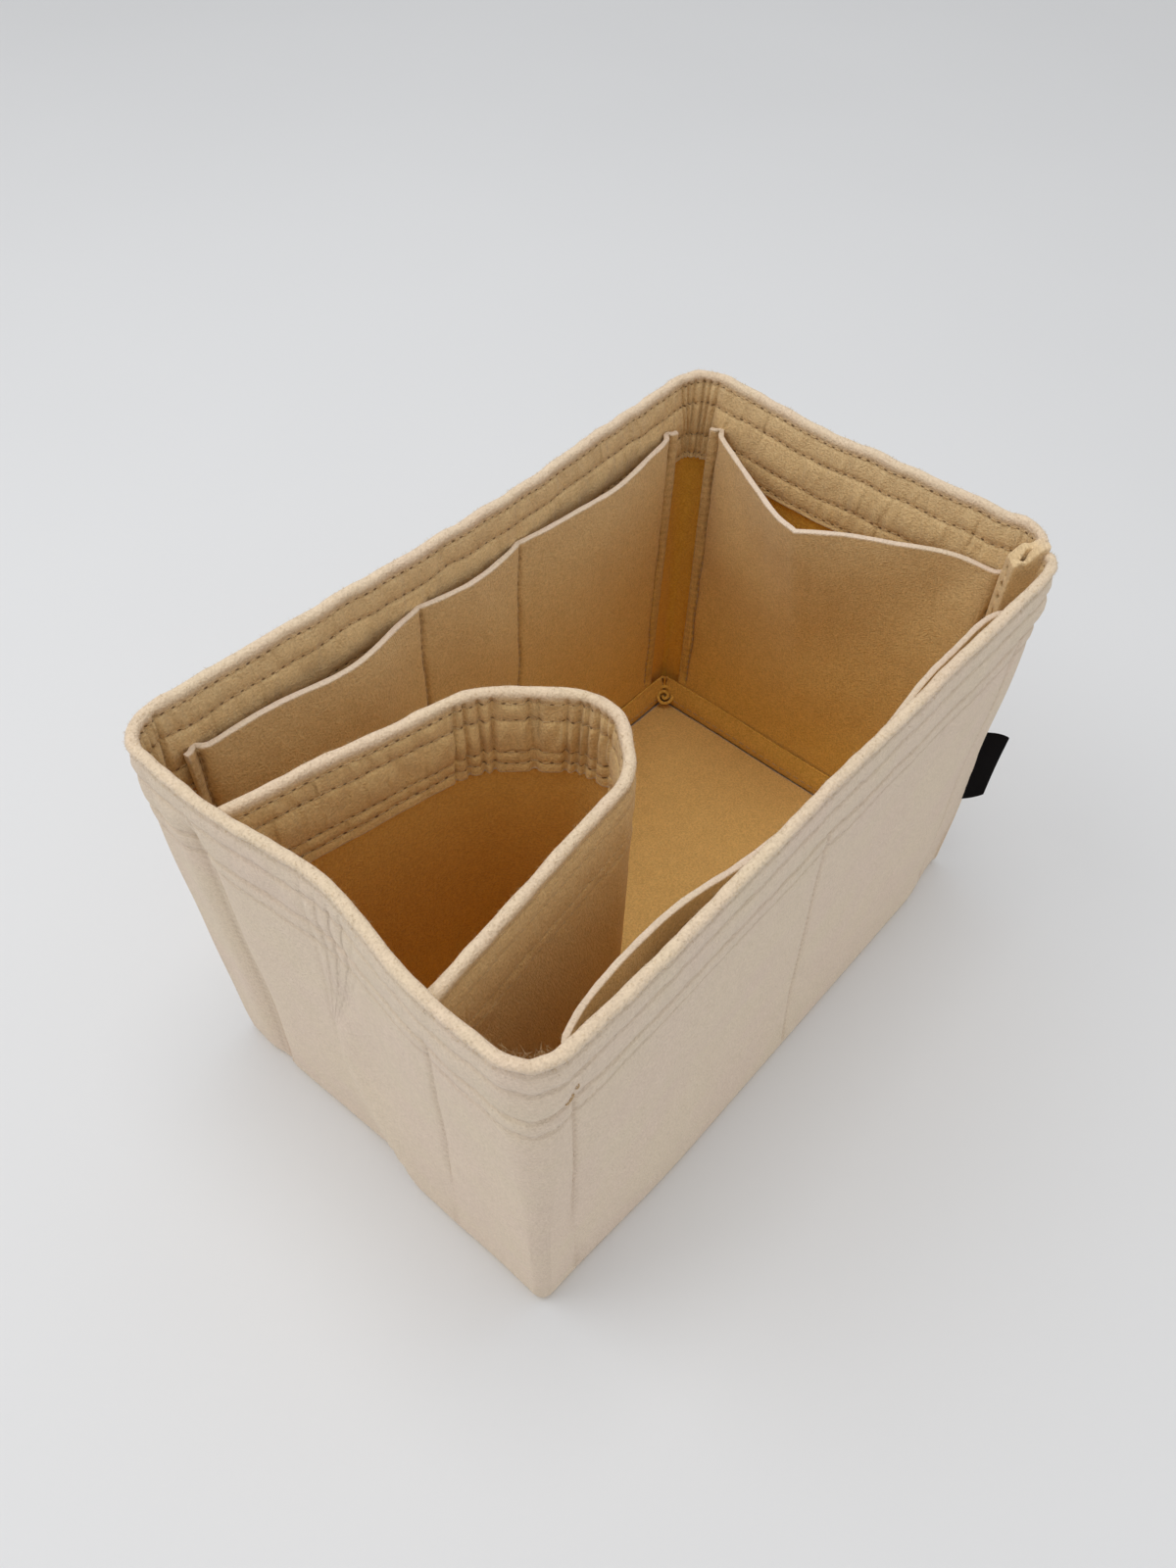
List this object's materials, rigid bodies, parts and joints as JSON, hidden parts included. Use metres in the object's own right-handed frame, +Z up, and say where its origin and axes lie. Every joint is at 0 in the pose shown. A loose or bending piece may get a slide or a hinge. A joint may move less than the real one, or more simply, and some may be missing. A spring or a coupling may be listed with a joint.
{
  "type": "purse organizer insert",
  "caption": "Open-topped soft felt box that stands inside a handbag, with slip pockets along its walls, a bottle loop on an end wall, a doubled stitched rim and a small ribbon tag.",
  "frame": {"origin": "middle of the underside of the base, on the surface that the insert stands on", "axes": "+Z up, +X along the long side away from the bottle loop, the wall with two pockets faces -Y"},
  "size_m": [0.256, 0.1597, 0.168],
  "materials": {
    "felt": "cream needled felt, matt and slightly fuzzy",
    "ribbon": "black woven ribbon"
  },
  "bodies": {
    "insert": {"wall_strip": "felt", "base_panel": "felt", "back_pocket_panel": "felt", "front_pocket_panel": "felt", "end_pocket_panel": "felt", "bottle_loop": "felt"},
    "tag": {"label_tag": "ribbon"}
  },
  "joints": [
    {"name": "tag_flex", "type": "hinge", "parent": "insert", "child": "tag", "pos_m": [0.12014, -0.07341, 0.04098], "axis": [0.027, -0.0092, 0.9996], "range_deg": [-90, 90], "stiffness_Nm_per_rad": 0.0002}
  ]
}
